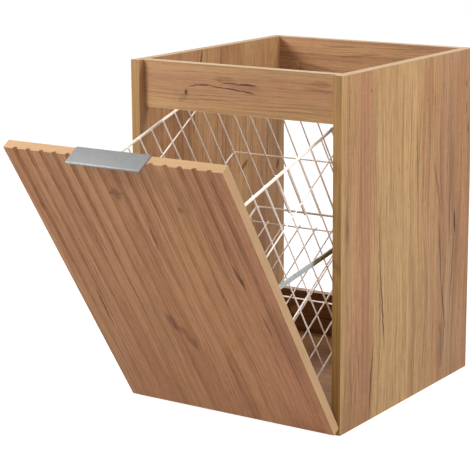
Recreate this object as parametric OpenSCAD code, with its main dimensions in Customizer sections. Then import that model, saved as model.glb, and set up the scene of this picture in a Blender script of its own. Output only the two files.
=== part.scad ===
// Laundry cabinet of faced chipboard with a fluted door that tilts out and carries a wire basket.
// The origin is the centre of the underside. The door is drawn tilted open, its rest position.

/* [Cabinet] */
// Width over both side panels
cabinet_w = 400; // [360:1:480]
// Depth of the side panels, front edge to back edge
side_depth = 441; // [430:1:520]
// Height of the side panels
cabinet_h = 570; // [550:1:620]
// Thickness of the cabinet boards
board_t = 16; // [15:0.5:18]
// Thickness of the edge band on the front edge of each side panel
band_t = 1; // [0.6:0.1:2]
// Height of the front top rail
front_rail_h = 77; // [70:1:90]
// Distance from the side panels' front edges back to the front top rail
front_rail_setback = 11; // [8:1:20]
// Height of the rear top rail
rear_rail_h = 100; // [90:1:120]
// Height of the low rear rail that stands on the bottom panel
low_rail_h = 80; // [70:1:110]
// Distance from the side panels' front edges back to the bottom panel
bottom_setback = 2; // [1:0.5:4]

/* [Fittings] */
// Diameter of a cam lock housing
cam_d = 15; // [12:0.5:16]
// Depth of a cam lock housing
cam_depth = 12.5; // [11.5:0.1:13]
// Distance from a side panel's inner face to the centre of a cam lock
cam_inset = 34; // [28:1:38]
// Drop from the cabinet's top to the cam locks of the rear top rail
cam_drop = 52; // [48:1:56]
// Diameter of a wooden dowel
dowel_d = 8; // [6:0.5:8]
// Length of a wooden dowel
dowel_len = 30; // [25:1:35]
// Distance between a cam bolt and the dowels beside it
dowel_offset = 24; // [20:1:26]
// Distance from the ends of the bottom panel's edge to its cam locks
bottom_cam_setback = 70; // [60:1:90]
// Diameter of the two wall fixing holes in the rear top rail
wall_hole_d = 7; // [5:0.5:9]
// Distance between the two wall fixing holes
wall_hole_spacing = 220; // [160:1:260]
// Height of the wall fixing holes above the rear top rail's lower edge
wall_hole_up = 18; // [14:1:22]
// Clearance all round a fitting in its drilled hole
fit_clear = 0.05; // [0.03:0.01:0.1]

/* [Door] */
// Thickness of the door panel
door_t = 16; // [16:0.5:19]
// Gap between the closed door and the side panels' front edges
door_gap = 3; // [3:0.1:4]
// Distance from the outside of the cabinet to the door's edge on each side
door_side_reveal = 2; // [1:0.5:4]
// Gap under the closed door
door_floor_gap = 9; // [8:0.5:12]
// Distance from the cabinet's top down to the closed door's top edge
door_top_reveal = 3; // [2.5:0.5:8]
// Angle that the open door leans forward
tilt = 33; // [25:1:35]
// Number of upright flutes in the door's face
flute_count = 15; // [9:1:15]
// Distance between two flutes
flute_pitch = 25; // [20:0.1:26]
// Width of a flute at the door's top edge
flute_w = 9.5; // [8:0.1:14]
// Depth of a flute at the door's top edge
flute_depth = 3.5; // [2.5:0.1:4]
// Height above the door's bottom edge at which the flutes have run out
flute_end = 36; // [20:1:100]
// Diameter of a door bumper
bumper_d = 8; // [6:0.5:10]
// Distance from the door's top edge down to the bumpers
bumper_drop = 24; // [18:1:40]

/* [Handle] */
// Length of the edge pull
handle_len = 134; // [100:1:180]
// Distance that the edge pull stands out over the door's face
handle_overhang = 18; // [15:1:24]
// Thickness of the pull's plate
handle_t = 2; // [1.5:0.1:2.5]
// Height of the pull's turned-down front lip
handle_lip = 3; // [2.5:0.5:8]
// Height of the pull's flange on the door's back
handle_flange = 20; // [16:1:28]
// Distance between the two screws of the pull
handle_screw_spacing = 96; // [64:1:96]

/* [Hinges] */
// Diameter of a hinge cup's bore
cup_d = 35; // [35:0.5:37]
// Depth of a hinge cup's bore
cup_depth = 10.5; // [10:0.1:11]
// Distance from the door's bottom edge to the rim of the cup's bore
cup_edge = 1.5; // [1.2:0.1:1.8]
// Distance from the door's edge to the middle of a hinge
hinge_inset = 78; // [70:1:100]
// Diameter of the hinge pin
pin_d = 3; // [2.5:0.1:3.2]
// Distance of the hinge pin from the door's back face
pin_in = 6; // [5.5:0.1:6]
// Height of the hinge pin above the door's bottom edge
pin_up = 6; // [5.9:0.1:6.2]
// Width of a hinge arm
arm_w = 8; // [7:0.1:9]
// Thickness of a hinge arm's neck
arm_neck = 5.4; // [5:0.1:5.8]
// Height of a hinge arm over its base plate
arm_h = 11.5; // [10:0.5:14]
// Distance that a hinge arm reaches back from the side panels' front edges
arm_reach = 62; // [56:1:80]
// Thickness of a hinge base plate
plate_t = 2.5; // [2:0.1:3]

/* [Stays] */
// Height of a stay bar's section
stay_w = 8; // [7:0.5:9]
// Thickness of a stay bar
stay_t = 2.5; // [2:0.1:3]
// Distance of the stay pivot from the door's back face
stay_pivot_in = 8; // [7:0.5:10]
// Height of the stay pivot above the door's bottom edge
stay_pivot_up = 295; // [285:1:305]
// Distance of the stay guide's post from the side panels' front edges
guide_setback = 50; // [46:1:56]
// Height of the stay guide's post above the floor
guide_up = 299; // [292:1:306]
// Length of a stay guide along its bar
guide_len = 20; // [16:1:24]
// Distance from a side panel's inner face to the middle of its stay bar
stay_inset = 11; // [10:0.5:13]
// Clearance above and below the bar in its guide
guide_clear = 0.6; // [0.5:0.1:0.8]

/* [Basket] */
// Gap between a side panel's inner face and the mesh wires of the basket's side
basket_gap = 34; // [32:1:50]
// Distance from the door's back face to the basket's rear mesh
basket_reach = 393; // [360:1:400]
// Height of the basket's floor mesh above the door's bottom edge
basket_floor = 50; // [48:1:70]
// Drop from the door's top edge to the basket's rim
rim_drop = 113; // [108:1:140]
// Angle by which the rim falls towards the rear
rim_slope = 15.6; // [14:0.1:20]
// Diameter of the rim wire
rim_d = 5; // [4.5:0.5:6]
// Diameter of the bottom ring's wire
ring_d = 4; // [3.5:0.5:5]
// Diameter of the mesh wires
wire_d = 2.6; // [2.5:0.1:3]
// Distance between the upright wires of the basket's sides
side_pitch = 32; // [30:0.1:40]
// Number of upright wires in the rear mesh, its two corner wires left out
rear_wires = 8; // [6:1:10]
// Height of the lower hoop above the door's bottom edge
low_hoop_up = 190; // [150:1:210]
// Drop from the rim's rear wire to the upper hoop
high_hoop_drop = 10; // [8:1:60]
// Height of the bottom ring above the basket's floor mesh
ring_rise = 7; // [6:0.5:9]
// Distance that each cross wire of the floor lies behind a side wire
floor_lead = 7; // [6:0.5:11]

/* [Hidden] */

oak = "#be9b73";
oak_band = "#a07a44";
oak_door = "#a87c58";
steel = "#b4bab6";
zinc = "#9a9a98";
white_wire = "#fae8d7";
beech = "#d2b48c";
clear_soft = "#e6e6e0";

// Planes of the cabinet
front_y = -side_depth / 2;
back_y = side_depth / 2;
inner_x = cabinet_w / 2 - board_t;

// The door, in its own frame: x across, y from its front face backwards, z up from its bottom edge
door_w = cabinet_w - 2 * door_side_reveal;
door_h = cabinet_h - door_floor_gap - door_top_reveal;
pin_t = door_t - pin_in;
pin_y = front_y - door_gap - pin_in;
pin_z = door_floor_gap + pin_up;

// Hinges
hinge_x = door_w / 2 - hinge_inset;
cup_r = cup_d / 2 - fit_clear;
cup_wall = 0.6;
cup_floor = 0.8;
cup_z = cup_edge + cup_d / 2;
cup_bottom = door_t - cup_depth;
flange_t = 1.2;
flange_edge = 2;
cup_screw_out = 5;
cup_screw_x = cup_d / 2 + cup_screw_out;
cup_rim = 2;
wing_end = 5;
wing_h = 16;
eye_r = pin_d / 2 + 1.5;
cheek_gap = 0.2;
cheek_t = 2;
cheek_h = 6;
knee_y = 9.5;
knee_z = 12;
neck_angle = atan2(knee_z, knee_y);
neck_len = norm([knee_y, knee_z]);
knee_r = arm_neck / 2 + 0.4;
arm_foot = 14;
plate_w = 30;
plate_len = 44;
plate_setback = 16;
plate_front = front_y + plate_setback;
screw_r = 1.8;
screw_len = 13;
plate_screw_x = 10;
plate_screw_y = 8;
head_r = 3.4;
head_h = 1.6;

// Stays: the pivot on the open door, the guide post on the cabinet, and the bar between them
function from_door(y, z) = [
  pin_y + (y - pin_t) * cos(tilt) - (z - pin_up) * sin(tilt),
  pin_z + (y - pin_t) * sin(tilt) + (z - pin_up) * cos(tilt)
];
stay_pivot_t = door_t + stay_pivot_in;
stay_pivot = from_door(stay_pivot_t, stay_pivot_up);
guide_point = [front_y + guide_setback, guide_up];
stay_reach = norm(guide_point - stay_pivot);
stay_angle = atan2(guide_point[1] - stay_pivot[1], guide_point[0] - stay_pivot[0]);
stay_x = inner_x - stay_inset;
stay_eye_r = stay_w / 2 + 1;
rivet_r = 2;
rivet_head_r = 3.5;
rivet_head_t = 1.2;
stop_gap = 0.3;
stop_len = 5;
stop_over = 3;
stop_h = stay_w + 2 * stop_over;
stop_t = stay_t + 4;
stay_tail = 3;
guide_cheek = 4;
guide_h = stay_w + 2 * guide_cheek;
guide_side = 1;
guide_wall = 2;
post_r = 3;
post_flange_r = 6;
post_flange_t = 1.5;
post_screw_r = 2.5;
post_screw_len = 10;
post_gap = 0.3;
post_tip_x = stay_x + stay_t / 2 + guide_side + guide_wall;
ear_t = 2;
ear_x = stay_x + stay_t / 2 + 0.5;
bracket_h = 34;
bracket_w = 18;
bracket_screw_up = 11;

// Basket, in the door's frame: mesh wires inside, rings and hoops outside
wire_r = wire_d / 2;
rim_r = rim_d / 2;
ring_r = ring_d / 2;
mesh_x = inner_x - basket_gap;
rim_up = door_h - rim_drop;
mesh_back = door_t + basket_reach;
weld = 0.5;
touch = 0.05;
rim_off = wire_r + rim_r + touch;
ring_off = wire_r + ring_r + touch;
hoop_off = wire_d - weld;
rim_front = door_t + 1 + rim_r;
mesh_front = rim_front + rim_off;
corner_in = 1;
rim_bend = 8;
ring_bend = 7.5;
hoop_bend = 6;
ring_z = basket_floor + ring_rise;
ring_front = mesh_front - ring_off;
rear_pitch = 2 * mesh_x / (rear_wires + 1);
side_wires = floor((mesh_back - mesh_front - 12) / side_pitch);
wire_over = 1;
floor_over = 3;
flute_lead_in = 20;
clip_t = 1.5;
clip_w = 14;
clip_x = mesh_x - 1.5 * rear_pitch;
clip_foot = 9;
clip_screw = 9;

function rim_z(y) = rim_up - (y - rim_front) * tan(rim_slope);

// Joints of each board with the side panels: middle of the bolt, and the turn that points out of
// the cam lock's mouth
front_rail_y = front_y + front_rail_setback + board_t / 2;
rear_rail_y = back_y - board_t / 2;
front_joint = [front_rail_y, cabinet_h - front_rail_h / 2, -90];
rear_joint = [rear_rail_y, cabinet_h - cam_drop, 90];
low_joint = [rear_rail_y, board_t + low_rail_h / 2, 90];
floor_joints = [
  [front_y + bottom_cam_setback, board_t / 2, 180],
  [back_y - bottom_cam_setback, board_t / 2, 180]
];
rail_joints = [front_joint, rear_joint, low_joint];
joints = concat(rail_joints, floor_joints);
bolt_r = 3.4;
bolt_neck_r = 2;
bolt_head_r = 3;
bolt_thread_r = 2.5;
bolt_thread_len = 11;
dowel_in_side = 12;
end_play = 0.5;

module yz_plate(width) {
  rotate([90, 0, 90])
    linear_extrude(width, center = true) children();
}

module x_rod(r, length, fn = 48) {
  rotate([0, 90, 0])
    cylinder(r = r, h = length, center = true, $fn = fn);
}

module in_door() {
  translate([0, pin_y, pin_z])
    rotate([tilt, 0, 0])
      translate([0, -pin_t, -pin_up]) children();
}

module left_right(x) {
  for (s = [-1, 1])
    translate([s * x, 0, 0]) children();
}

// Dowel axes beside a joint: along the rail's height, or along the bottom panel's depth
function dowel_spots(j) = j[2] == 180
  ? [for (s = [-1, 1]) [j[0] + s * dowel_offset, j[1]]]
  : [for (s = [-1, 1]) [j[0], j[1] + s * dowel_offset]];

// Holes that a joint needs on one end of a board, s being the side
module board_holes(j, s) {
  translate([s * (inner_x - cam_inset), j[0], j[1]])
    rotate([j[2], 0, 0])
      translate([0, 0, board_t / 2 - cam_depth])
        cylinder(d = cam_d + 2 * fit_clear, h = cam_depth + 1, $fn = 64);
  translate([s * (inner_x - cam_inset / 2), j[0], j[1]])
    x_rod(bolt_r + fit_clear, cam_inset + 1);
  for (d = dowel_spots(j))
    translate([s * (inner_x - (dowel_len - dowel_in_side + end_play) / 2 + 0.5), d[0], d[1]])
      x_rod(dowel_d / 2 + fit_clear, dowel_len - dowel_in_side + end_play + 1);
}

// Holes that a joint needs in a side panel
module side_holes(j, s) {
  translate([s * (inner_x + (bolt_thread_len + end_play) / 2 - 0.5), j[0], j[1]])
    x_rod(bolt_thread_r + fit_clear, bolt_thread_len + end_play + 1);
  for (d = dowel_spots(j))
    translate([s * (inner_x + (dowel_in_side + end_play) / 2 - 0.5), d[0], d[1]])
      x_rod(dowel_d / 2 + fit_clear, dowel_in_side + end_play + 1);
}

module side_panel(s) {
  difference() {
    translate([s * (inner_x + board_t / 2), band_t / 2, cabinet_h / 2])
      cube([board_t, side_depth - band_t, cabinet_h], center = true);
    for (j = joints)
      side_holes(j, s);
    translate([s * (inner_x + (post_screw_len + end_play) / 2 - 0.5), guide_point[0], guide_point[1]])
      x_rod(post_screw_r + fit_clear, post_screw_len + end_play + 1);
  }
}

module edge_band(s) {
  translate([s * (inner_x + board_t / 2), front_y + band_t / 2, cabinet_h / 2])
    cube([board_t, band_t, cabinet_h], center = true);
}

module rail(j, height, bottom) {
  difference() {
    translate([0, j[0], bottom + height / 2])
      cube([2 * inner_x, board_t, height], center = true);
    for (s = [-1, 1])
      board_holes(j, s);
  }
}

module side_left() { color(oak) side_panel(-1); }
module side_right() { color(oak) side_panel(1); }
module edge_band_left() { color(oak_band) edge_band(-1); }
module edge_band_right() { color(oak_band) edge_band(1); }

module bottom_panel() {
  color(oak) difference() {
    translate([-inner_x, front_y + bottom_setback, 0])
      cube([2 * inner_x, side_depth - bottom_setback, board_t]);
    for (s = [-1, 1])
      for (j = floor_joints)
        board_holes(j, s);
    left_right(hinge_x)
      plate_screw_spots()
        translate([0, 0, board_t - screw_len + 1])
          cylinder(r = screw_r + fit_clear, h = screw_len, $fn = 32);
  }
}

module front_rail() { color(oak) rail(front_joint, front_rail_h, cabinet_h - front_rail_h); }

module rear_rail() {
  color(oak) difference() {
    rail(rear_joint, rear_rail_h, cabinet_h - rear_rail_h);
    left_right(wall_hole_spacing / 2)
      translate([0, rear_rail_y, cabinet_h - rear_rail_h + wall_hole_up])
        rotate([90, 0, 0])
          cylinder(d = wall_hole_d, h = board_t + 2, center = true, $fn = 48);
  }
}

module low_rear_rail() { color(oak) rail(low_joint, low_rail_h, board_t); }

// Cam lock: a round housing with a pocket for the bolt's head and a cross slot to turn it
module cam_lock(s) {
  difference() {
    translate([0, 0, board_t / 2 - cam_depth])
      cylinder(d = cam_d, h = cam_depth - 0.3, $fn = 64);
    translate([s * cam_d / 2, 0, 0])
      x_rod(bolt_head_r + 0.6, cam_d + 4);
    translate([0, 0, board_t / 2 - 1.3]) {
      cube([cam_d * 0.6, 1.6, 3], center = true);
      cube([1.6, cam_d * 0.6, 3], center = true);
    }
  }
}

module cam_locks() {
  color(zinc)
    for (s = [-1, 1])
      for (j = joints)
        translate([s * (inner_x - cam_inset), j[0], j[1]])
          rotate([j[2], 0, 0]) cam_lock(s);
}

// Cam bolt, drawn along x from the side panel's inner face inwards
module cam_bolt() {
  head_len = 3;
  neck_len = 6;
  rotate([0, 90, 0]) {
    translate([0, 0, -bolt_thread_len])
      cylinder(r = bolt_thread_r, h = bolt_thread_len + 1, $fn = 48);
    cylinder(r = bolt_r, h = cam_inset - head_len - neck_len, $fn = 48);
    cylinder(r = bolt_neck_r, h = cam_inset - 1, $fn = 48);
    translate([0, 0, cam_inset - head_len])
      cylinder(r = bolt_head_r, h = head_len, $fn = 48);
  }
}

module cam_bolts() {
  color(steel)
    for (s = [-1, 1])
      for (j = joints)
        translate([s * inner_x, j[0], j[1]])
          rotate([0, 0, s > 0 ? 180 : 0]) cam_bolt();
}

module dowels() {
  color(beech)
    for (s = [-1, 1])
      for (j = joints)
        for (d = dowel_spots(j))
          translate([s * (inner_x + dowel_in_side - dowel_len / 2), d[0], d[1]])
            x_rod(dowel_d / 2, dowel_len);
}

// Hinge arm: the eye on the pin, a neck that climbs over the bottom panel's edge, and the foot
module hinge_arm() {
  base_z = board_t + plate_t - pin_z;
  color(steel)
    translate([0, pin_y, pin_z])
      difference() {
        yz_plate(arm_w) {
          circle(r = eye_r, $fn = 48);
          rotate(neck_angle)
            translate([0, -arm_neck / 2]) square([neck_len, arm_neck]);
          translate([knee_y, knee_z]) circle(r = knee_r, $fn = 48);
          translate([knee_y, knee_z - arm_neck / 2])
            square([front_y + arm_foot + 4 - pin_y - knee_y, arm_neck]);
          translate([front_y + arm_foot - pin_y, base_z])
            square([arm_reach - arm_foot, arm_h]);
        }
        x_rod(pin_d / 2 + fit_clear, arm_w + 2);
      }
}

module hinge_arm_left() { translate([-hinge_x, 0, 0]) hinge_arm(); }
module hinge_arm_right() { translate([hinge_x, 0, 0]) hinge_arm(); }

// The two screws of a base plate, beside the arm and one behind the other
module plate_screw_spots() {
  for (s = [-1, 1])
    translate([s * plate_screw_x, plate_front + plate_len / 2 + s * plate_screw_y, 0]) children();
}

module hinge_plates() {
  color(zinc)
    left_right(hinge_x)
      difference() {
        translate([-plate_w / 2, plate_front, board_t])
          cube([plate_w, plate_len, plate_t]);
        plate_screw_spots()
          translate([0, 0, board_t - 1])
            cylinder(r = screw_r + fit_clear, h = plate_t + 2, $fn = 32);
      }
}

// A pan head screw that points down, its head's underside at z = 0
module pan_screw(length = screw_len, r = screw_r) {
  translate([0, 0, -length + 0.5])
    cylinder(r = r, h = length, $fn = 32);
  difference() {
    cylinder(r = head_r, h = head_h, $fn = 48);
    translate([0, 0, head_h]) {
      cube([head_r * 1.2, 0.9, 1.4], center = true);
      cube([0.9, head_r * 1.2, 1.4], center = true);
    }
  }
}

module plate_screws() {
  color(zinc)
    left_right(hinge_x)
      plate_screw_spots()
        translate([0, 0, board_t + plate_t]) pan_screw(screw_len - 1);
}

// Post that carries a stay guide: screw thread in the panel, flange, and the bearing stub
module guide_post() {
  rotate([0, 90, 0]) {
    translate([0, 0, -post_screw_len])
      cylinder(r = post_screw_r, h = post_screw_len + 1, $fn = 48);
    cylinder(r = post_flange_r, h = post_flange_t, $fn = 48);
    cylinder(r = post_r, h = inner_x - post_tip_x, $fn = 48);
  }
}

module guide_posts() {
  color(steel)
    for (s = [-1, 1])
      translate([s * inner_x, guide_point[0], guide_point[1]])
        rotate([0, 0, s > 0 ? 180 : 0]) guide_post();
}

// Stay guide: a block that turns on its post and has a slot for the bar
module stay_guide(s) {
  inside = stay_x - stay_t / 2 - guide_side - guide_wall;
  outside = inner_x - post_flange_t - post_gap;
  color("#6f7371")
    translate([0, guide_point[0], guide_point[1]])
      rotate([stay_angle, 0, 0])
        difference() {
          translate([s * (inside + outside) / 2, 0, 0])
            cube([outside - inside, guide_len, guide_h], center = true);
          translate([s * stay_x, 0, 0])
            cube([stay_t + 2 * guide_side, guide_len + 2, stay_w + 2 * guide_clear], center = true);
          translate([s * (post_tip_x - post_gap + (outside - post_tip_x + post_gap + 1) / 2), 0, 0])
            x_rod(post_r + fit_clear, outside - post_tip_x + post_gap + 1);
        }
}

module guide_left() { stay_guide(-1); }
module guide_right() { stay_guide(1); }

// Places children in a stay bar's frame: y along the bar from its pivot on the open door
module along_stay(s) {
  translate([s * stay_x, stay_pivot[0], stay_pivot[1]])
    rotate([stay_angle, 0, 0]) children();
}

bar_len = stay_reach + guide_len / 2 + stop_gap + stop_len + stay_tail;

module stay_bar(s) {
  color(steel)
    along_stay(s)
      difference() {
        yz_plate(stay_t) {
          circle(r = stay_eye_r, $fn = 48);
          translate([0, -stay_w / 2]) square([bar_len, stay_w]);
        }
        x_rod(rivet_r + fit_clear, stay_t + 2);
      }
}

module stay_stop(s) {
  color("#4a4a4a")
    along_stay(s)
      translate([0, stay_reach + guide_len / 2 + stop_gap + stop_len / 2, 0])
        difference() {
          cube([stop_t, stop_len, stop_h], center = true);
          cube([stay_t + 2 * fit_clear, stop_len + 2, stay_w + 2 * fit_clear], center = true);
        }
}

module stay_left() { stay_bar(-1); }
module stay_right() { stay_bar(1); }
module stay_stop_left() { stay_stop(-1); }
module stay_stop_right() { stay_stop(1); }

// Places children on the door's back face, local z pointing backwards
module on_back(x, z) {
  translate([x, door_t, z])
    rotate([-90, 0, 0]) children();
}

handle_screw_z = door_h - handle_flange / 2;
handle_screw_len = 11;

module pilot(length) {
  translate([0, 0, -length - 0.2])
    cylinder(r = screw_r + fit_clear, h = length + 1, $fn = 32);
}

// Every screw position of the stay brackets, in the door's frame
module bracket_screw_spots() {
  for (s = [-1, 1])
    for (u = [-1, 1])
      on_back(s * (ear_x + ear_t - bracket_w / 2), stay_pivot_up + u * bracket_screw_up) children();
}

// Every screw position of the basket clips, in the door's frame
module clip_screw_spots() {
  for (s = [-1, 1])
    for (u = [-1, 1])
      for (z = [rim_up, ring_z])
        on_back(s * clip_x, z + u * clip_screw) children();
}

// Path of a round cutter up the door's face, which sinks in from flute_end to the top edge
module flute_cut() {
  flute_r = (flute_w * flute_w / 4 + flute_depth * flute_depth) / (2 * flute_depth);
  lean = atan(flute_depth / (door_h - flute_end));
  translate([0, -flute_r, flute_end])
    rotate([-lean, 0, 0])
      translate([0, 0, -flute_lead_in])
        cylinder(r = flute_r, h = door_h + flute_lead_in, $fn = 64);
}

module door_panel() {
  color(oak_door) in_door() difference() {
    translate([-door_w / 2, 0, 0]) cube([door_w, door_t, door_h]);
    for (i = [0 : flute_count - 1])
      translate([(i - (flute_count - 1) / 2) * flute_pitch, 0, 0]) flute_cut();
    left_right(hinge_x) {
      translate([0, cup_bottom, cup_z])
        rotate([-90, 0, 0]) cylinder(d = cup_d, h = cup_depth + 1, $fn = 96);
      for (s = [-1, 1])
        on_back(s * cup_screw_x, cup_z) pilot(cup_depth);
    }
    for (s = [-1, 1])
      on_back(s * handle_screw_spacing / 2, handle_screw_z) pilot(handle_screw_len);
    bracket_screw_spots() pilot(handle_screw_len);
    clip_screw_spots() pilot(handle_screw_len);
  }
}

// Edge pull: flange on the door's back, plate over the top edge, lip in front
module handle() {
  color("#a3a3a3") in_door() difference() {
    translate([-handle_len / 2, 0, 0]) {
      translate([0, -handle_overhang, door_h])
        cube([handle_len, handle_overhang + door_t + handle_t, handle_t]);
      translate([0, -handle_overhang, door_h + handle_t - handle_lip])
        cube([handle_len, handle_t, handle_lip]);
      translate([0, door_t, door_h - handle_flange])
        cube([handle_len, handle_t, handle_flange + handle_t]);
    }
    for (s = [-1, 1])
      on_back(s * handle_screw_spacing / 2, handle_screw_z)
        translate([0, 0, -1]) cylinder(r = screw_r + fit_clear, h = handle_t + 2, $fn = 32);
  }
}

module handle_screws() {
  color(zinc) in_door()
    for (s = [-1, 1])
      on_back(s * handle_screw_spacing / 2, handle_screw_z)
        translate([0, 0, handle_t]) pan_screw(handle_screw_len, screw_r);
}

module bumpers() {
  bumper_h = door_gap - 0.4;
  color(clear_soft) in_door()
    for (s = [-1, 1])
      on_back(s * (inner_x + board_t / 2 - door_side_reveal / 2), door_h - bumper_drop)
        cylinder(d = bumper_d, h = bumper_h, $fn = 48);
}

// Hinge cup: thin round shell in the door's bore, two cheeks for the pin, and a winged flange
module hinge_cup() {
  color(steel) in_door() difference() {
    union() {
      translate([0, cup_bottom, cup_z])
        rotate([-90, 0, 0])
          difference() {
            cylinder(r = cup_r, h = cup_depth, $fn = 96);
            translate([0, 0, cup_floor])
              cylinder(r = cup_r - cup_wall, h = cup_depth, $fn = 96);
          }
      intersection() {
        translate([0, cup_bottom, cup_z])
          rotate([-90, 0, 0]) cylinder(r = cup_r - cup_wall / 2, h = cup_depth, $fn = 96);
        for (s = [-1, 1])
          translate([s * (arm_w / 2 + cheek_gap + cheek_t / 2), 0, 0])
            translate([-cheek_t / 2, cup_bottom + cup_floor / 2, 0])
              cube([cheek_t, pin_t + eye_r - cup_bottom - cup_floor / 2, pin_up + cheek_h]);
      }
      intersection() {
        translate([0, door_t, cup_z])
          rotate([-90, 0, 0])
            difference() {
              union() {
                cylinder(r = cup_d / 2 + cup_rim, h = flange_t, $fn = 96);
                translate([-cup_screw_x - wing_end, -wing_h / 2, 0])
                  cube([2 * (cup_screw_x + wing_end), wing_h, flange_t]);
              }
              translate([0, 0, -1]) cylinder(r = cup_r - cup_wall, h = flange_t + 2, $fn = 96);
            }
        translate([-cup_d, 0, flange_edge]) cube([2 * cup_d, 2 * door_t, 2 * cup_d]);
      }
    }
    translate([0, pin_t, pin_up])
      x_rod(pin_d / 2 + 0.02, arm_w + 2 * cheek_gap + 2 * cheek_t + 2);
    for (s = [-1, 1])
      on_back(s * cup_screw_x, cup_z)
        translate([0, 0, -1]) cylinder(r = screw_r + fit_clear, h = 4, $fn = 32);
  }
}

module hinge_cup_left() { translate([-hinge_x, 0, 0]) hinge_cup(); }
module hinge_cup_right() { translate([hinge_x, 0, 0]) hinge_cup(); }

module hinge_pins() {
  color(zinc) in_door()
    left_right(hinge_x)
      translate([0, pin_t, pin_up])
        x_rod(pin_d / 2, arm_w + 2 * cheek_gap + 2 * cheek_t);
}

module cup_screws() {
  color(zinc) in_door()
    left_right(hinge_x)
      for (s = [-1, 1])
        on_back(s * cup_screw_x, cup_z)
          translate([0, 0, flange_t]) pan_screw(cup_depth, screw_r);
}

// Stay bracket: a foot on the door's back and an ear beside the bar
module stay_bracket(s) {
  ear_r = rivet_head_r + 2;
  color(steel) in_door() difference() {
    union() {
      translate([s * (ear_x + ear_t - bracket_w / 2), door_t + ear_t / 2, stay_pivot_up])
        cube([bracket_w, ear_t, bracket_h], center = true);
      translate([s * (ear_x + ear_t / 2), 0, stay_pivot_up]) {
        translate([0, door_t + stay_pivot_in / 2, 0])
          cube([ear_t, stay_pivot_in, 2 * ear_r], center = true);
        translate([0, stay_pivot_t, 0]) x_rod(ear_r, ear_t);
      }
    }
    translate([s * ear_x, stay_pivot_t, stay_pivot_up])
      x_rod(rivet_r + fit_clear, 4 * ear_t);
    bracket_screw_spots()
      translate([0, 0, -1]) cylinder(r = screw_r + fit_clear, h = ear_t + 2, $fn = 32);
  }
}

module stay_bracket_left() { stay_bracket(-1); }
module stay_bracket_right() { stay_bracket(1); }

// Rivets: a head inside the bar, a shank through bar and ear, and a head outside the ear
module stay_rivets() {
  inside = stay_x - stay_t / 2 - 0.3;
  outside = ear_x + ear_t + 0.1;
  color(zinc) in_door()
    for (s = [-1, 1])
      translate([0, stay_pivot_t, stay_pivot_up]) {
        translate([s * (inside + outside) / 2, 0, 0])
          x_rod(rivet_r, outside - inside + rivet_head_t);
        translate([s * (inside - rivet_head_t / 2), 0, 0])
          x_rod(rivet_head_r, rivet_head_t);
        translate([s * (outside + rivet_head_t / 2), 0, 0])
          x_rod(rivet_head_r, rivet_head_t);
      }
}

module bracket_screws() {
  color(zinc) in_door()
    bracket_screw_spots()
      translate([0, 0, ear_t]) pan_screw(handle_screw_len, screw_r);
}

// A closed ring of wire in a plane: straight tubes along its edges and a quarter turn at each
// corner. w and l are between the tubes' middles, y from 0 to l
module wire_ring(w, l, bend, r) {
  for (s = [-1, 1]) {
    translate([s * w / 2, bend, 0])
      rotate([-90, 0, 0]) cylinder(r = r, h = l - 2 * bend, $fn = 24);
    translate([0, s > 0 ? l : 0, 0]) x_rod(r, w - 2 * bend, 24);
  }
  for (i = [0 : 3])
    translate([(i < 2 ? 1 : -1) * (w / 2 - bend), (i == 0 || i == 3) ? bend : l - bend, 0])
      rotate([0, 0, [-90, 0, 90, 180][i]])
        rotate_extrude(angle = 90, $fn = 32)
          translate([bend, 0]) circle(r = r, $fn = 24);
}

module basket_rim() {
  reach = (mesh_back + rim_off - rim_front) / cos(rim_slope);
  color(white_wire) in_door()
    translate([0, rim_front, rim_up])
      rotate([-rim_slope, 0, 0])
        wire_ring(2 * (mesh_x + rim_off), reach, rim_bend, rim_r);
}

module bottom_ring() {
  color(white_wire) in_door()
    translate([0, ring_front, ring_z])
      wire_ring(2 * (mesh_x + ring_off), mesh_back - mesh_front + 2 * ring_off, ring_bend, ring_r);
}

// Straight mesh wires of eight flats
module y_wire(length) {
  rotate([-90, 22.5, 0]) cylinder(r = wire_r, h = length, $fn = 8);
}

module z_wire(length) {
  rotate([0, 0, 22.5]) cylinder(r = wire_r, h = length, $fn = 8);
}

module x_wire(length) {
  rotate([0, 90, 0]) rotate([0, 0, 22.5]) cylinder(r = wire_r, h = length, center = true, $fn = 8);
}

hoop_levels = [low_hoop_up, rim_z(mesh_back + rim_off) - high_hoop_drop];
hoop_x = mesh_x + hoop_off;
hoop_back = mesh_back + hoop_off;
hoop_front = mesh_front - hoop_off;
wire_foot = ring_z - ring_r;

module side_net(s) {
  color(white_wire) in_door() {
    for (i = [1 : side_wires]) {
      y = mesh_back - i * side_pitch;
      translate([s * mesh_x, y, wire_foot]) z_wire(rim_z(y) + wire_over - wire_foot);
    }
    for (z = hoop_levels)
      translate([s * hoop_x, hoop_front + hoop_bend, z])
        y_wire(hoop_back - hoop_front - 2 * hoop_bend);
  }
}

module side_net_left() { side_net(-1); }
module side_net_right() { side_net(1); }

// The cross run of a hoop with its two corner bends, s = 1 at the rear and -1 at the door
module hoop_end(y, s) {
  translate([0, y, 0]) x_wire(2 * (hoop_x - hoop_bend));
  for (u = [-1, 1])
    translate([u * (hoop_x - hoop_bend), y - s * hoop_bend, 0])
      rotate([0, 0, s > 0 ? (u > 0 ? 0 : 90) : (u > 0 ? -90 : 180)])
        rotate_extrude(angle = 90, $fn = 32)
          translate([hoop_bend, 0]) rotate(22.5) circle(r = wire_r, $fn = 8);
}

function mesh_xs() = [for (i = [1 : rear_wires]) -mesh_x + i * rear_pitch];

// Upright mesh across the basket with its hoops, from the bottom ring to the rim
module cross_net(y, s) {
  corner_y = y - s * corner_in;
  top_z = rim_z(y) + wire_over;
  for (x = mesh_xs())
    translate([x, y, wire_foot]) z_wire(top_z - wire_foot);
  for (u = [-1, 1])
    translate([u * (mesh_x - corner_in), corner_y, wire_foot])
      z_wire(top_z - wire_foot);
  for (z = hoop_levels)
    translate([0, 0, z]) hoop_end(y + s * hoop_off, s);
}

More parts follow.
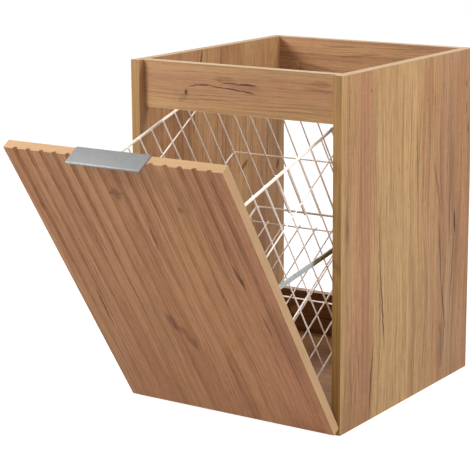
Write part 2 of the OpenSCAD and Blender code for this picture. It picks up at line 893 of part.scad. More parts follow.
module rear_net() { color(white_wire) in_door() cross_net(mesh_back, 1); }
module front_net() { color(white_wire) in_door() cross_net(mesh_front, -1); }

// Floor mesh: long wires on three cross wires, whose ends turn up to the bottom ring
module floor_net() {
  cross_z = basket_floor - hoop_off;
  rows = [for (i = [1, ceil(side_wires / 2), side_wires]) mesh_back - i * side_pitch + floor_lead];
  color(white_wire) in_door() {
    for (x = mesh_xs())
      translate([x, rows[2] - floor_over, basket_floor])
        y_wire(rows[0] - rows[2] + 2 * floor_over);
    for (y = rows) {
      translate([0, y, cross_z]) x_wire(2 * mesh_x + wire_r);
      for (s = [-1, 1])
        translate([s * mesh_x, y, cross_z - wire_r / 2]) z_wire(ring_z + wire_r - cross_z);
    }
  }
}

// Clip: a strap over a ring's front wire, y being the wire's, with a foot above and a foot below
module clip(y, z, r) {
  inner = r + 0.1;
  centre = y - door_t;
  on_back(0, z)
    rotate([90, 0, 90])
      translate([0, 0, -clip_w / 2])
        linear_extrude(clip_w)
          difference() {
            union() {
              translate([0, centre]) circle(r = inner + clip_t, $fn = 48);
              translate([-inner - clip_t, 0]) square([2 * (inner + clip_t), centre]);
              translate([-inner - clip_foot, 0]) square([2 * (inner + clip_foot), clip_t]);
            }
            translate([0, centre]) circle(r = inner, $fn = 48);
            translate([-inner, -1]) square([2 * inner, centre + 1]);
          }
}

module basket_clips() {
  color(steel) in_door() difference() {
    left_right(clip_x) {
      clip(rim_front, rim_up, rim_r);
      clip(ring_front, ring_z, ring_r);
    }
    clip_screw_spots()
      translate([0, 0, -1]) cylinder(r = screw_r + fit_clear, h = clip_t + 2, $fn = 32);
  }
}

module clip_screws() {
  color(zinc) in_door()
    clip_screw_spots()
      translate([0, 0, clip_t]) pan_screw(handle_screw_len, screw_r);
}

side_left();
side_right();
edge_band_left();
edge_band_right();
bottom_panel();
front_rail();
rear_rail();
low_rear_rail();
cam_locks();
cam_bolts();
dowels();
hinge_arm_left();
hinge_arm_right();
hinge_plates();
plate_screws();
guide_posts();
guide_left();
guide_right();
stay_left();
stay_right();
stay_stop_left();
stay_stop_right();
door_panel();
handle();
handle_screws();
bumpers();
hinge_cup_left();
hinge_cup_right();
hinge_pins();
cup_screws();
stay_bracket_left();
stay_bracket_right();
stay_rivets();
bracket_screws();
basket_rim();
bottom_ring();
side_net_left();
side_net_right();
rear_net();
front_net();
floor_net();
basket_clips();
clip_screws();
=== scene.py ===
import math

import bmesh
import bpy
from mathutils import Matrix, Vector


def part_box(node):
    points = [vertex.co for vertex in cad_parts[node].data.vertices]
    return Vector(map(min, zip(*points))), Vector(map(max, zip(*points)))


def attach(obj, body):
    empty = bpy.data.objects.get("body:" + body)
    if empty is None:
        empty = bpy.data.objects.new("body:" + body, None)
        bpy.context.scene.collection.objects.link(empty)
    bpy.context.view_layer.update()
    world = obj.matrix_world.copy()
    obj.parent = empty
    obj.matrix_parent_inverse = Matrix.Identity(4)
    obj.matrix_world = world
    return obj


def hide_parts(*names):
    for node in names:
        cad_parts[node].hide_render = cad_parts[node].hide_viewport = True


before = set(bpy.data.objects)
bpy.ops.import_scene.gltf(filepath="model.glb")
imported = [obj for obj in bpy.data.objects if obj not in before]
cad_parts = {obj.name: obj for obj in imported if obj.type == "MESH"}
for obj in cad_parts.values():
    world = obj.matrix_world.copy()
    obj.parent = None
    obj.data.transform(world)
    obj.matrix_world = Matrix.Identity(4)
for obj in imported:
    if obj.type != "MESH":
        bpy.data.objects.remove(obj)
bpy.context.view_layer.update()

# Boards of the cabinet: 16 mm chipboard, faced on both sides with a paper film that is printed
# with golden oak and pressed into melamine resin. Their edges carry a thin glued plastic band.
# Cam locks and dowels hold them together.
mm = 1000  # millimetres in a metre

# Numbers of sockets: a Mix node's two colours, and the four ends of a Map Range node.
colour_a, colour_b = 6, 7
from_min, from_max, to_min, to_max = 1, 2, 3, 4


def linear(hex_colour):
    """An sRGB hex colour as the linear colour that a shader takes."""
    channels = [int(hex_colour[i:i + 2], 16) / 255 for i in (1, 3, 5)]
    return (*[c / 12.92 if c <= 0.04045 else ((c + 0.055) / 1.055) ** 2.4 for c in channels], 1)


def darker(hex_colour, share):
    """The linear colour of an sRGB hex colour, turned down to a share of its light."""
    return (*[c * share for c in linear(hex_colour)[:3]], 1)


def connect(tree, node, sockets):
    """Sets sockets of a node. Each takes a value, or the node or the output that feeds it."""
    for socket, value in sockets.items():
        if isinstance(value, bpy.types.Node):
            value = next(output for output in value.outputs if output.enabled)
        if isinstance(value, bpy.types.NodeSocket):
            tree.links.new(value, node.inputs[socket])
        else:
            node.inputs[socket].default_value = value


def add(tree, kind, sockets=None, **settings):
    """Adds one node with its settings, and sets its sockets."""
    made = tree.nodes.new(kind)
    for name, value in settings.items():
        setattr(made, name, value)
    connect(tree, made, sockets or {})
    return made


def open_group(tree, inputs, outputs):
    """Gives a node group its named inputs and outputs, and returns the node of its inputs."""
    for in_out, sockets in (("INPUT", inputs), ("OUTPUT", outputs)):
        for name, kind in sockets.items():
            tree.interface.new_socket(name, in_out=in_out, socket_type="NodeSocket" + kind)
    return add(tree, "NodeGroupInput")


def new_finish(name, axes=((1, 0, 0), (0, 1, 0), (0, 0, 1)), offset=(0, 0, 0)):
    """A material, its nodes, its shader and its place in millimetres along the given axes."""
    material = bpy.data.materials.new(name)
    material.use_nodes = True
    tree = material.node_tree
    tree.nodes.clear()
    shader = add(tree, "ShaderNodeBsdfPrincipled")
    add(tree, "ShaderNodeOutputMaterial", {"Surface": shader})
    coordinates = add(tree, "ShaderNodeTexCoord")
    place = add(tree, "ShaderNodeMapping", {
        "Vector": coordinates.outputs["Object"],
        "Location": offset,
        "Rotation": Matrix(axes).to_euler(),
        "Scale": (mm, mm, mm),
    })
    return material, tree, shader, place


def dress(material, *nodes):
    """Puts a material on every slot of the CAD nodes."""
    for node in nodes:
        for material_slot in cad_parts[node].material_slots:
            material_slot.material = material


def stretched(tree, place, cell, detail, roughness=0.5):
    """Noise whose cells have the given sizes in millimetres along the three axes of the place."""
    cells = add(tree, "ShaderNodeVectorMath", {
        0: place, 1: [1 / size for size in cell],
    }, operation="MULTIPLY")
    return add(tree, "ShaderNodeTexNoise", {
        "Vector": cells, "Scale": 1, "Detail": detail, "Roughness": roughness,
    })


# The printed oak, for all boards. The eye sees a satin face with a drawn grain and next to no
# relief. Place is in millimetres, x across the grain and y along it. Tone goes from greyish
# through reddish to golden oak, Figure is the strength of the grain, and Mark covers with a crack.
# Real pores are 0.3 mm wide. They are drawn 1.1 mm wide, because finer ones don't show.
oak_print = bpy.data.node_groups.new("oak print", "ShaderNodeTree")
given = open_group(
    oak_print,
    {"Place": "Vector", "Tone": "Float", "Figure": "Float", "Mark": "Float"},
    {"Colour": "Color", "Roughness": "Float", "Height": "Float"},
)
on_print = add(oak_print, "ShaderNodeSeparateXYZ", {0: given.outputs["Place"]})

# The grain drifts sideways by up to 34 mm over a long way and by 1.6 mm over a short one.
most_drift, most_shiver = 34, 1.6
drift = stretched(oak_print, given.outputs["Place"], (130, 360, 90), 2)
shiver = stretched(oak_print, given.outputs["Place"], (20, 80, 40), 2)
wander = add(oak_print, "ShaderNodeMath", {
    0: given.outputs["Figure"], 1: most_drift,
}, operation="MULTIPLY")
across = add(oak_print, "ShaderNodeMath", {
    0: drift, 1: wander, 2: on_print.outputs["X"],
}, operation="MULTIPLY_ADD")
across = add(oak_print, "ShaderNodeMath", {0: shiver, 1: most_shiver, 2: across}, operation="MULTIPLY_ADD")
along_grain = add(oak_print, "ShaderNodeCombineXYZ", {
    0: across, 1: on_print.outputs["Y"], 2: on_print.outputs["Z"],
})
clouds = stretched(oak_print, along_grain, (38, 420, 80), 2)
bands = stretched(oak_print, along_grain, (11, 600, 60), 4, 0.65)
streaks = stretched(oak_print, along_grain, (2.8, 280, 20), 4, 0.7)
pores = stretched(oak_print, along_grain, (1.1, 24, 3), 2, 0.6)
ripple = stretched(oak_print, given.outputs["Place"], (34, 5, 30), 3, 0.6)

# The bands shift the tone by a quarter to either side.
band_hue = 0.5
hue = add(oak_print, "ShaderNodeMath", {0: bands, 1: band_hue, 2: -band_hue / 2}, operation="MULTIPLY_ADD")
hue = add(oak_print, "ShaderNodeMath", {0: hue, 1: given.outputs["Tone"]}, operation="ADD", use_clamp=True)
colour = add(oak_print, "ShaderNodeValToRGB", {0: hue})
tones = colour.color_ramp.elements
tones.new(0.5)
for tone, hex_colour in zip(tones, ("#b28a65", "#b3825e", "#c49e6b")):
    tone.color = linear(hex_colour)
for pattern, low, high, amount, tint in (
    (clouds, 0.49, 0.66, 0.6, "#a3724b"),
    (bands, 0.46, 0.66, 0.5, "#8c6040"),
    (streaks, 0.46, 0.7, 0.72, "#6b442a"),
    (pores, 0.5, 0.7, 0.4, "#63422d"),
    (ripple, 0.5, 0.8, 0.1, "#d8b88c"),
):
    full = add(oak_print, "ShaderNodeMath", {0: given.outputs["Figure"], 1: amount}, operation="MULTIPLY")
    strength = add(oak_print, "ShaderNodeMapRange", {
        0: pattern, from_min: low, from_max: high, to_max: full,
    }, interpolation_type="SMOOTHSTEP")
    colour = add(oak_print, "ShaderNodeMix", {
        0: strength, colour_a: colour, colour_b: linear(tint),
    }, data_type="RGBA")
colour = add(oak_print, "ShaderNodeMix", {
    0: given.outputs["Mark"], colour_a: colour, colour_b: linear("#46291c"),
}, data_type="RGBA")
dulled = add(oak_print, "ShaderNodeMapRange", {
    0: pores, from_min: 0.3, from_max: 0.8, to_min: 0.42, to_max: 0.62,
})
depth = add(oak_print, "ShaderNodeMapRange", {
    0: pores, from_min: 0.5, from_max: 0.8, to_min: 1, to_max: 0,
}, interpolation_type="SMOOTHSTEP")
depth = add(oak_print, "ShaderNodeMath", {0: depth, 1: given.outputs["Mark"]}, operation="SUBTRACT")
add(oak_print, "NodeGroupOutput", {"Colour": colour, "Roughness": dulled, "Height": depth})


def cracks_and_knots(tree, on_film, marks):
    """Where marks show on a board. A mark is its two ends, half its width and its strength. It is
    a long ellipse that sways a little and fades out towards its rim."""
    sway, any_depth = 5, 1e7
    faded_at, full_at = 1.25, 0.55
    tremble = stretched(tree, on_film, (40, 14, 30), 3)
    tremble = add(tree, "ShaderNodeMath", {0: tremble, 1: sway, 2: -sway / 2}, operation="MULTIPLY_ADD")
    tremble = add(tree, "ShaderNodeCombineXYZ", {0: tremble})
    trembling = add(tree, "ShaderNodeVectorMath", {0: on_film, 1: tremble}, operation="ADD")
    broken = stretched(tree, on_film, (1.6, 9, 30), 2)
    shown = None
    for start, end, half_width, strength in marks:
        run = Vector(end) - Vector(start)
        in_mark = add(tree, "ShaderNodeMapping", {
            "Vector": trembling,
            "Location": ((start[0] + end[0]) / 2, (start[1] + end[1]) / 2, 0),
            "Rotation": (0, 0, math.atan2(-run[0], run[1])),
            "Scale": (half_width, run.length / 2, any_depth),
        }, vector_type="TEXTURE")
        reach = add(tree, "ShaderNodeVectorMath", {0: in_mark}, operation="LENGTH")
        dark = add(tree, "ShaderNodeMapRange", {
            0: reach.outputs["Value"], from_min: faded_at, from_max: full_at, to_max: strength,
        }, interpolation_type="SMOOTHSTEP")
        shown = add(tree, "ShaderNodeMath", {0: shown, 1: dark}, operation="MAXIMUM") if shown else dark
    patchy = add(tree, "ShaderNodeMapRange", {
        0: broken, from_min: 0.3, from_max: 0.5, to_min: 0.8, to_max: 1,
    })
    return add(tree, "ShaderNodeMath", {0: shown, 1: patchy}, operation="MULTIPLY")


def oak_board(name, axes, span, strips, marks, seed, figure, edge="#cbad8a", offset=(0, 0, 0),
              tint=(1, 1, 1), cored=True):
    """Oak print for one board. span is its lowest and highest place along the axes, and strips are
    (place across, tone). The seed picks each board's own part of the print, tint is how its colour
    differs from the others' and on the low rail is painted shade, and cored shows chipboard in its
    holes. The face at the high end of the third axis shows the marks as given, the other turned over."""
    material, tree, shader, place = new_finish(name, axes, offset)
    (u0, v0, w0), (u1, v1, w1) = span
    board_step, face_step = 1000, 400  # boards and faces lie this far apart in the noise
    parts = add(tree, "ShaderNodeSeparateXYZ", {0: place})
    face = add(tree, "ShaderNodeMath", {
        0: parts.outputs["Z"], 1: (w0 + w1) / 2,
    }, operation="GREATER_THAN")
    way = add(tree, "ShaderNodeMath", {0: face, 1: 2, 2: -1}, operation="MULTIPLY_ADD")
    turned = add(tree, "ShaderNodeMath", {0: face, 1: -(v0 + v1), 2: v0 + v1}, operation="MULTIPLY_ADD")
    along = add(tree, "ShaderNodeMath", {0: parts.outputs["Y"], 1: way, 2: turned}, operation="MULTIPLY_ADD")
    sheet = add(tree, "ShaderNodeMath", {
        0: face, 1: face_step, 2: seed * board_step,
    }, operation="MULTIPLY_ADD")
    on_film = add(tree, "ShaderNodeCombineXYZ", {0: parts.outputs["X"], 1: along, 2: sheet})

    tone = add(tree, "ShaderNodeValToRGB", {
        0: add(tree, "ShaderNodeMapRange", {0: parts.outputs["X"], from_min: u0, from_max: u1}),
    })
    tone.color_ramp.interpolation = "EASE"
    stops = tone.color_ramp.elements
    while len(stops) < len(strips):
        stops.new(0.5)
    for stop, (u, level) in zip(stops, strips):
        stop.position = (u - u0) / (u1 - u0)
        stop.color = (level, level, level, 1)

    film = add(tree, "ShaderNodeGroup", {
        "Place": on_film, "Tone": tone, "Figure": figure, "Mark": cracks_and_knots(tree, on_film, marks),
    }, node_tree=oak_print)

    # The band shows as a thin line round each face, and drilled holes show the core.
    side_line, end_line, film_t = 0.4, 0.8, 0.3
    within = [
        add(tree, "ShaderNodeMath", {
            0: parts.outputs[axis], 1: (low + high) / 2, 2: (high - low) / 2 - rim,
        }, operation="COMPARE")
        for axis, low, high, rim in zip("XYZ", *span, (side_line, end_line, film_t))
    ]
    on_face = add(tree, "ShaderNodeMath", {0: within[0], 1: within[1]}, operation="MULTIPLY")
    in_core = add(tree, "ShaderNodeMath", {0: on_face, 1: within[2]}, operation="MULTIPLY")
    lines = stretched(tree, place, (70, 70, 1.6), 3, 0.6)
    band = add(tree, "ShaderNodeMix", {
        0: add(tree, "ShaderNodeMapRange", {0: lines, from_min: 0.35, from_max: 0.7}),
        colour_a: linear(edge), colour_b: darker(edge, 0.8),
    }, data_type="RGBA")
    chip_size = 5 / 3  # millimetres across one chip of wood
    chips = add(tree, "ShaderNodeTexVoronoi", {"Vector": place, "Scale": 1 / chip_size})
    core = add(tree, "ShaderNodeMix", {
        0: chips.outputs["Color"], colour_a: linear("#c9a878"), colour_b: linear("#9a7648"),
    }, data_type="RGBA")
    tinted = add(tree, "ShaderNodeMix", {
        0: 1.0, colour_a: film.outputs["Colour"], colour_b: (*tint, 1),
    }, data_type="RGBA", blend_type="MULTIPLY")
    shown = add(tree, "ShaderNodeMix", {0: on_face, colour_a: band, colour_b: tinted}, data_type="RGBA")
    if cored:
        shown = add(tree, "ShaderNodeMix", {0: in_core, colour_a: shown, colour_b: core}, data_type="RGBA")
    relief = add(tree, "ShaderNodeMath", {0: film.outputs["Height"], 1: on_face}, operation="MULTIPLY")
    bump = add(tree, "ShaderNodeBump", {"Strength": 0.35, "Distance": 0.0003, "Height": relief})
    connect(tree, shader, {
        "Base Color": shown, "Roughness": film.outputs["Roughness"], "Normal": bump,
        "Specular IOR Level": 0.28,
    })
    return material


def span_of(node, axes):
    """A board's lowest and highest place along the axes, in millimetres."""
    ends = [Matrix(axes) @ (Vector(corner) * mm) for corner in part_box(node)]
    return [min(pair) for pair in zip(*ends)], [max(pair) for pair in zip(*ends)]


# On the side panels the grain runs up, and places across it are front to rear.
upright = ((0, 1, 0), (0, 0, 1), (1, 0, 0))
side_edge = "#c3a27b"
dress(oak_board(
    "melamine-faced board, oak print, right side", upright, span_of("side_right", upright),
    (
        (-220, 0.85), (-172, 0.72), (-160, 0.5), (-134, 0.5), (-120, 0.92), (20, 1),
        (50, 0.75), (106, 0.72), (120, 0.05), (176, 0), (192, 0.6), (215, 0.5),
    ),
    (
        # Long dark cracks
        ((-102, 338), (-98, 232), 1.3, 0.8), ((-97, 250), (-80, 108), 1.9, 1),
        ((-118, 128), (-130, 1), 2.0, 1), ((22, 478), (25, 344), 1.5, 0.75),
        ((107, 290), (118, 165), 1.8, 0.9), ((117, 180), (137, 90), 2.2, 0.8),
        ((143, 340), (147, 230), 1.6, 0.7), ((-203, 352), (-199, 300), 1.6, 0.7),
        ((134, 120), (128, 40), 1.8, 0.6),
        # Knots
        ((163, 300), (166, 250), 3.4, 1), ((-131, 542), (-131, 533), 1.8, 0.65),
        ((199, 519), (201, 503), 2.4, 0.6), ((202, 480), (202, 460), 2.4, 0.5),
        ((209, 442), (210, 422), 2.6, 0.7),
        # Fainter cracks and streaks
        ((164, 262), (152, 130), 3.0, 0.5), ((-203, 360), (-206, 312), 4.0, 0.4),
        ((121, 80), (124, 26), 3.6, 0.45), ((-175, 190), (-160, 60), 3.0, 0.25),
        ((-196, 150), (-183, 20), 3.0, 0.25), ((-52, 60), (-49, 4), 1.4, 0.4),
        ((60, 130), (52, 20), 2.4, 0.3), ((-206, 250), (-196, 150), 1.4, 0.3),
        ((152, 420), (146, 300), 2.4, 0.35), ((112, 110), (124, 62), 5.0, 0.35),
        ((112, 300), (88, 385), 2.4, 0.45), ((121, 296), (107, 372), 2.2, 0.4),
        ((98, 335), (80, 405), 2.0, 0.35),
        # A fan of fine lines low at the front
        ((-212, 30), (-199, 128), 1.1, 0.3), ((-204, 12), (-188, 122), 1.1, 0.35),
        ((-194, 6), (-177, 108), 1.1, 0.3), ((-183, 2), (-168, 92), 1.1, 0.35),
        # Soft smudges
        ((112, 4), (126, 120), 9.0, 0.22), ((182, 330), (172, 190), 8.0, 0.2),
        ((156, 430), (158, 250), 10.0, 0.16), ((-14, 150), (-16, 50), 5.0, 0.2),
        ((-203, 385), (-203, 285), 8.0, 0.2),
    ),
    seed=1, figure=0.98, edge=side_edge, tint=(1.01, 1.015, 1.015),
), "side_right")
dress(oak_board(
    "melamine-faced board, oak print, left side", upright, span_of("side_left", upright),
    ((-220, 0.75), (-120, 0.65), (-30, 0.8), (40, 0.65), (90, 0.9), (150, 0.7), (215, 0.8)),
    (
        # Knots on the inner face, which shows through the basket
        ((99, 357), (76, 340), 4.5, 0.7), ((203, 343), (194, 324), 4.0, 0.8),
        # Cracks and streaks
        ((-38, 572), (-56, 520), 2.2, 0.9), ((-66, 470), (-69, 425), 2.4, 0.5),
        ((16, 575), (14, 470), 3.2, 0.4), ((120, 560), (126, 380), 2.4, 0.35),
        ((170, 470), (160, 300), 2.0, 0.4), ((30, 420), (20, 250), 3.0, 0.35),
        ((-130, 400), (-120, 240), 1.6, 0.6), ((-20, 200), (-34, 60), 1.8, 0.6),
    ),
    seed=2, figure=1, edge=side_edge, tint=(0.99, 1, 1.01),
), "side_left")

# On the rails the grain runs from side to side, and places across it are heights.
crosswise = ((0, 0, 1), (-1, 0, 0), (0, -1, 0))
dress(oak_board(
    "melamine-faced board, oak print, front rail", crosswise, span_of("front_rail", crosswise),
    ((490, 0.9), (508, 0.85), (522, 0.65), (545, 0.6), (560, 0.75), (570, 0.8)),
    (
        # Two cracks beside each other, each in several pieces
        ((532, 92), (537, 73), 1.1, 0.8), ((537, 80), (537, 50), 1.4, 1.0),
        ((537, 59), (533, 15), 1.1, 0.85), ((534, 28), (532, -16), 1.2, 1.0),
        ((533, -6), (529, -34), 1.3, 1.0), ((542, 31), (542, -10), 1.1, 0.95),
        ((542, 2), (542, -40), 1.6, 1.0), ((547, 38), (543, 28), 1.0, 0.6),
        # A knot
        ((528, 97), (517, 99), 3.4, 0.85),
        # Soft smudges
        ((540, 20), (536, -50), 7.0, 0.2), ((508, 114), (520, 92), 6.0, 0.25),
        ((553, -135), (552, -175), 5.0, 0.3), ((546, -120), (541, -180), 3.0, 0.25),
        ((515, 90), (512, -10), 1.6, 0.25), ((547, 44), (549, 4), 4.0, 0.3),
    ),
    seed=3, figure=0.7, tint=(0.85, 0.84, 0.84),
), "front_rail")
dress(oak_board(
    "melamine-faced board, oak print, rear rail", crosswise, span_of("rear_rail", crosswise),
    ((470, 0.75), (500, 0.6), (530, 0.75), (550, 0.8), (570, 0.7)),
    (
        ((525, 150), (512, 60), 3.0, 0.35), ((540, 60), (548, -30), 2.4, 0.3),
        ((556, 90), (560, 20), 2.0, 0.3), ((500, -60), (508, -140), 5.0, 0.35),
    ),
    seed=4, figure=0.85, tint=(0.98, 0.97, 1),
), "rear_rail")
# The low rail's tint is painted shade: it turns the board down to about half its light, for the deep shade
# it lies in behind the basket and the door.
dress(oak_board(
    "melamine-faced board, oak print, low rail", crosswise, span_of("low_rear_rail", crosswise),
    ((16, 0.65), (60, 0.75), (96, 0.6)),
    (((50, 120), (48, 20), 2.0, 0.5), ((70, -20), (74, -130), 2.4, 0.4)),
    seed=5, figure=0.8, tint=(0.5, 0.46, 0.42),
), "low_rear_rail")

# On the bottom panel the grain runs from side to side, and places across it are front to rear.
level_board = ((0, 1, 0), (-1, 0, 0), (0, 0, 1))
dress(oak_board(
    "melamine-faced board, oak print, bottom", level_board, span_of("bottom_panel", level_board),
    ((-220, 0.7), (-60, 0.85), (60, 0.65), (220, 0.75)),
    (((-90, 120), (-80, -20), 2.0, 0.5), ((70, 40), (76, -120), 2.4, 0.5)),
    seed=6, figure=0.8,
), "bottom_panel")

# Front edges of the side panels: a 1 mm strip of ABS plastic, printed like the boards and glued
# on hot, then trimmed flush. The trimmed outer corner shows as a paler line.
outside = round(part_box("side_right")[1].x * mm, 1)
corner_from, corner_to = 1.4, 0.2  # in from the panel's outside
trim, tree, shader, place = new_finish("ABS edge band, extruded and printed")
parts = add(tree, "ShaderNodeSeparateXYZ", {0: place})
outward = add(tree, "ShaderNodeMath", {0: parts.outputs["X"]}, operation="ABSOLUTE")
corner = add(tree, "ShaderNodeMapRange", {
    0: outward, from_min: outside - corner_from, from_max: outside - corner_to,
})
lines = stretched(tree, place, (1.6, 30, 150), 4, 0.6)
cloud = stretched(tree, place, (14, 30, 90), 2)
gold = add(tree, "ShaderNodeMix", {
    0: add(tree, "ShaderNodeMapRange", {0: lines, from_min: 0.32, from_max: 0.7}),
    colour_a: linear("#aa844a"), colour_b: linear("#825d32"),
}, data_type="RGBA")
gold = add(tree, "ShaderNodeMix", {
    0: add(tree, "ShaderNodeMapRange", {0: cloud, from_min: 0.5, from_max: 0.75, to_max: 0.5}),
    colour_a: gold, colour_b: linear("#72522b"),
}, data_type="RGBA")
gold = add(tree, "ShaderNodeMix", {
    0: corner, colour_a: gold, colour_b: linear("#ba9458"),
}, data_type="RGBA")
bump = add(tree, "ShaderNodeBump", {"Strength": 0.2, "Distance": 0.0002, "Height": lines})
connect(tree, shader, {"Base Color": gold, "Roughness": 0.5, "Normal": bump})
dress(trim, "edge_band_left", "edge_band_right")

# Fittings in the boards: die-cast zinc cam locks that grip the heads of plated steel bolts, and
# ribbed beech dowels beside them. The locks sit in round pockets, the dowels in holes. Cast zinc
# is dull and grained all over, plated steel is brighter and bluish.


def metal(name, colour, roughness, mark_size, worn="#8d9090"):
    """A metal with the drawn, brushed or cast marks that its making leaves. The real marks are
    finer. They are drawn half a millimetre wide or more, because finer ones don't show."""
    material, tree, shader, place = new_finish(name)
    marks = stretched(tree, place, mark_size, 4, 0.6)
    cloud = stretched(tree, place, (9, 9, 9), 2)
    shade = add(tree, "ShaderNodeMix", {
        0: add(tree, "ShaderNodeMapRange", {0: cloud, from_min: 0.35, from_max: 0.75, to_max: 0.5}),
        colour_a: linear(colour), colour_b: linear(worn),
    }, data_type="RGBA")
    gloss = add(tree, "ShaderNodeMapRange", {
        0: marks, from_min: 0.3, from_max: 0.7, to_min: roughness - 0.07, to_max: roughness + 0.09,
    })
    bump = add(tree, "ShaderNodeBump", {"Strength": 0.15, "Distance": 0.0001, "Height": marks})
    connect(tree, shader, {"Base Color": shade, "Metallic": 1, "Roughness": gloss, "Normal": bump})
    return material


cast_zinc = metal("zinc alloy, die-cast", "#a9a9a6", 0.45, (0.9, 0.9, 0.9))
plated_steel = metal("steel, bright zinc plated", "#c3c6c4", 0.3, (0.7, 0.7, 0.7), "#9fa3a6")
dress(cast_zinc, "cam_locks")
dress(plated_steel, "cam_bolts", "guide_posts")

# The turned beech shows a pale, dull wood with fine lines along the dowel.
beech, tree, shader, place = new_finish("beech, turned and ribbed")
ribs = stretched(tree, place, (40, 0.7, 0.7), 3)
shade = add(tree, "ShaderNodeMix", {
    0: add(tree, "ShaderNodeMapRange", {0: ribs, from_min: 0.35, from_max: 0.7}),
    colour_a: linear("#d8ba90"), colour_b: linear("#b98f62"),
}, data_type="RGBA")
bump = add(tree, "ShaderNodeBump", {"Strength": 0.5, "Distance": 0.0004, "Height": ribs})
connect(tree, shader, {"Base Color": shade, "Roughness": 0.7, "Normal": bump})
dress(beech, "dowels")

# Caps over the cam locks of the two rear rails: round lids moulded in an oak-brown plastic, with
# a chamfered edge, pressed on flat.
cap_x, cap_heights = 150, (518, 56)  # middles of the cam locks
cap_outline = ((8.5, 0), (8.5, 0.5), (7.7, 1.2))  # radius and height over the rail
cap_sides = 40
rail_face = round(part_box("rear_rail")[0].y * mm, 1)


def moulded(name, colour, roughness):
    """A moulded plastic with the even spark grain of its mould. The grain is drawn 0.8 mm wide,
    because a real one of 0.1 mm doesn't show."""
    material, tree, shader, place = new_finish(name)
    grain = stretched(tree, place, (0.8, 0.8, 0.8), 3)
    cloud = stretched(tree, place, (12, 12, 12), 2)
    shade = add(tree, "ShaderNodeMix", {
        0: add(tree, "ShaderNodeMapRange", {0: cloud, from_min: 0.35, from_max: 0.7}),
        colour_a: linear(colour), colour_b: darker(colour, 0.82),
    }, data_type="RGBA")
    gloss = add(tree, "ShaderNodeMapRange", {0: grain, to_min: roughness - 0.1, to_max: roughness + 0.1})
    bump = add(tree, "ShaderNodeBump", {"Strength": 0.25, "Distance": 0.0001, "Height": grain})
    connect(tree, shader, {"Base Color": shade, "Roughness": gloss, "Normal": bump})
    return material


def cap_ring(shape, x, height, radius, proud):
    """One ring of corners of a lid, at a height over the face of its rail."""
    turns = [math.tau * k / cap_sides for k in range(cap_sides)]
    return [shape.verts.new(Vector((
        x + radius * math.cos(turn), rail_face - proud, height + radius * math.sin(turn),
    )) / mm) for turn in turns]


shape = bmesh.new()
for height in cap_heights:
    for x in (-cap_x, cap_x):
        rings = [cap_ring(shape, x, height, radius, proud) for radius, proud in cap_outline]
        shape.faces.new(rings[0])
        shape.faces.new(rings[-1][::-1])
        for inner, outer in zip(rings, rings[1:]):
            for k in range(cap_sides):
                shape.faces.new((inner[k], inner[k - 1], outer[k - 1], outer[k]))
bmesh.ops.recalc_face_normals(shape, faces=shape.faces)
caps_mesh = bpy.data.meshes.new("cam_caps")
shape.to_mesh(caps_mesh)
shape.free()
caps_mesh.shade_smooth()
caps_mesh.set_sharp_from_angle(angle=math.radians(30))
caps_mesh.materials.append(moulded("polyethylene, moulded, oak brown", "#b58860", 0.4))
caps = bpy.data.objects.new("cam_caps", caps_mesh)
bpy.context.collection.objects.link(caps)
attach(caps, "cabinet")

# Hinges on the cabinet: nickel-plated arms, pressed from strip steel, on zinc base plates that
# are screwed to the bottom panel. Nickel is bright and a little warmer than steel.
nickel = metal("steel, pressed and nickel plated", "#cfccc4", 0.24, (0.6, 8, 0.6), "#b0aca2")
dress(nickel, "hinge_arm_left", "hinge_arm_right")
dress(cast_zinc, "hinge_plates")
dress(plated_steel, "plate_screws")

# Stay guides: blocks moulded in mid-grey polyamide, each with a slot for its stay. They turn on
# a steel post in each side panel.
dress(moulded("polyamide, moulded, mid grey", "#6f7371", 0.5), "guide_left", "guide_right")

# Door: a 16 mm MDF panel with round flutes milled down its face, wrapped in an oak-printed film.
# Its edges are banded in a plainer, paler wood colour. It turns on pins near its foot.
door_half, door_h, door_t = 198, 558, 16
tilt = math.radians(33)  # from shut to the rest pose
pin = Vector((0, -229.5, 15))  # middle of the hinge pins
pin_depth, pin_up = 10, 6  # back from the door's face and up from its foot


def in_door(x, depth, height):
    """A place on the open door, from millimetres across, back from its face and up, in metres."""
    y, z = depth - pin_depth, height - pin_up
    return Vector((
        x,
        pin.y + y * math.cos(tilt) - z * math.sin(tilt),
        pin.z + y * math.sin(tilt) + z * math.cos(tilt),
    )) / mm


up_door = ((1, 0, 0), (0, -math.sin(tilt), math.cos(tilt)), (0, -math.cos(tilt), -math.sin(tilt)))
door_corner = Matrix(up_door) @ in_door(0, 0, 0) * mm
dress(oak_board(
    "fluted MDF, wrapped in oak print", up_door, ((-door_half, 0, -door_t), (door_half, door_h, 0)),
    ((-198, 0.75), (-120, 0.68), (-60, 0.75), (20, 0.7), (80, 0.78), (140, 0.62), (198, 0.45)),
    (
        # Knots
        ((-17, 502), (-17, 474), 9.0, 0.5), ((-30, 487), (-4, 490), 3.2, 0.65),
        ((-34, 232), (-22, 192), 9.0, 0.5), ((-24, 208), (-6, 182), 8.0, 0.4),
        ((-14, 190), (-1, 156), 7.0, 0.45), ((92, 478), (92, 466), 4.0, 0.45),
        # Cracks and streaks
        ((19, 430), (14, 374), 2.4, 0.6), ((145, 418), (142, 368), 1.9, 0.6),
        ((142, 374), (147, 320), 2.8, 0.8), ((-157, 268), (-160, 178), 2.4, 0.7),
        ((158, 264), (162, 216), 2.0, 0.6), ((-180, 452), (-181, 430), 1.8, 0.6),
        ((96, 330), (100, 262), 1.4, 0.35), ((-95, 430), (-93, 360), 1.6, 0.35),
        ((60, 180), (64, 90), 1.8, 0.35),
        # A soft smudge
        ((176, 300), (184, 120), 22.0, 0.16),
    ),
    seed=7, figure=0.9, edge="#c39c73", offset=-door_corner, tint=(0.845, 0.74, 0.7), cored=False,
), "door_panel")

